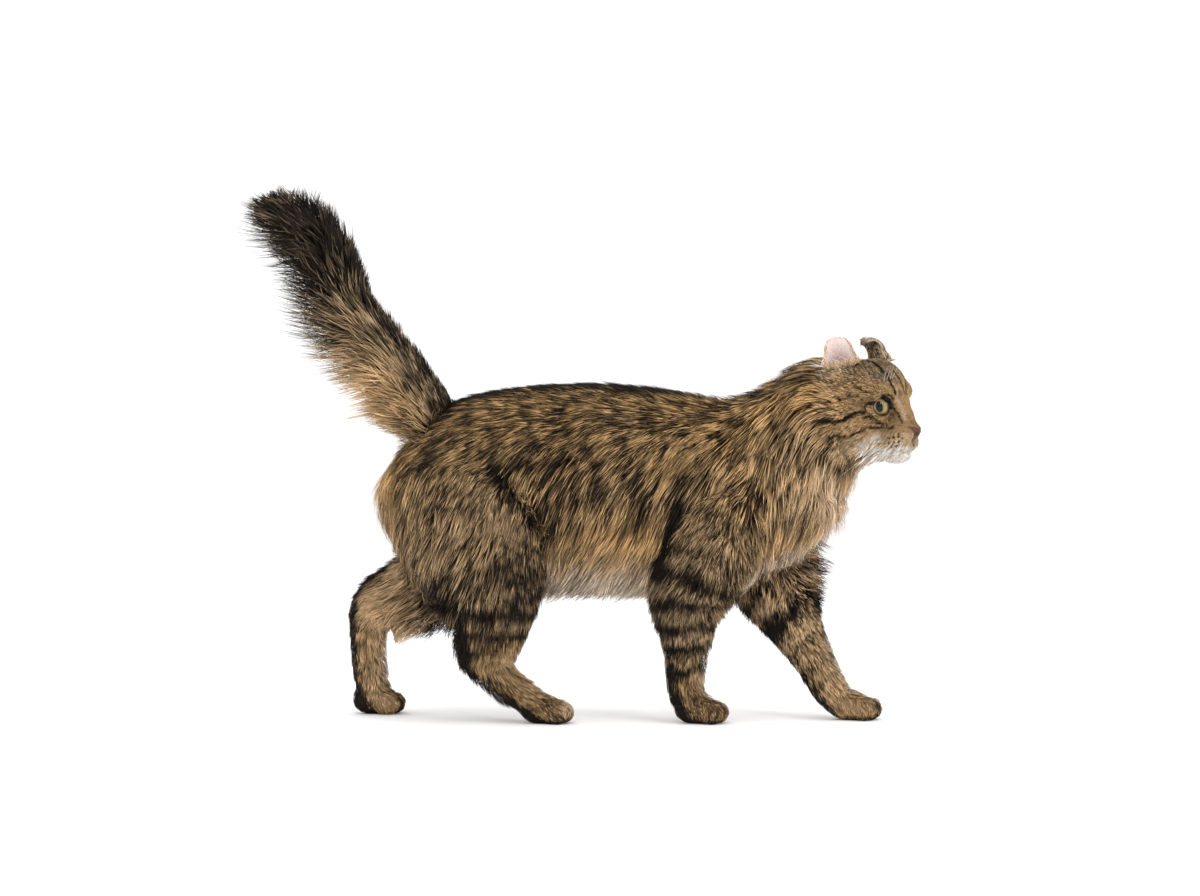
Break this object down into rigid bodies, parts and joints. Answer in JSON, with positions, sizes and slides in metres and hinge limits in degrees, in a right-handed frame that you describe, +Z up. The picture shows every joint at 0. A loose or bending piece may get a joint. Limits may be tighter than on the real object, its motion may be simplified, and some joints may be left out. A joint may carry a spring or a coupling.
{
  "type": "curled-ear longhair cat",
  "caption": "Life-size still model of a walking longhair tabby cat with backward-curled ears and a raised plumed tail.",
  "frame": {"origin": "middle of the bounding box on the floor under the paws", "axes": "+X forwards, the way the cat walks; +Y to the cat's left; +Z up"},
  "size_m": [0.5636, 0.1696, 0.4574],
  "materials": {
    "coat_tabby": "long soft brown tabby hair",
    "coat_dark": "long soft dark brown hair",
    "coat_cream": "long soft cream hair",
    "ear": "thin skin with short hair",
    "eye": "wet gloss",
    "nose": "damp leather"
  },
  "bodies": {
    "root": {"head": "coat_tabby", "ear_right": "ear", "ear_left": "ear", "eye_right": "eye", "eye_left": "eye", "nose": "nose", "neck": "coat_tabby", "torso": "coat_tabby", "tail_base": "coat_tabby", "tail_end": "coat_dark", "foreleg_upper_right": "coat_tabby", "foreleg_lower_right": "coat_tabby", "forepaw_right": "coat_tabby", "foreleg_upper_left": "coat_tabby", "foreleg_lower_left": "coat_tabby", "forepaw_left": "coat_tabby", "hindleg_upper_right": "coat_tabby", "hindleg_lower_right": "coat_tabby", "hindpaw_right": "coat_tabby", "hindleg_upper_left": "coat_tabby", "hindleg_lower_left": "coat_tabby", "hindpaw_left": "coat_tabby"}
  },
  "joints": []
}
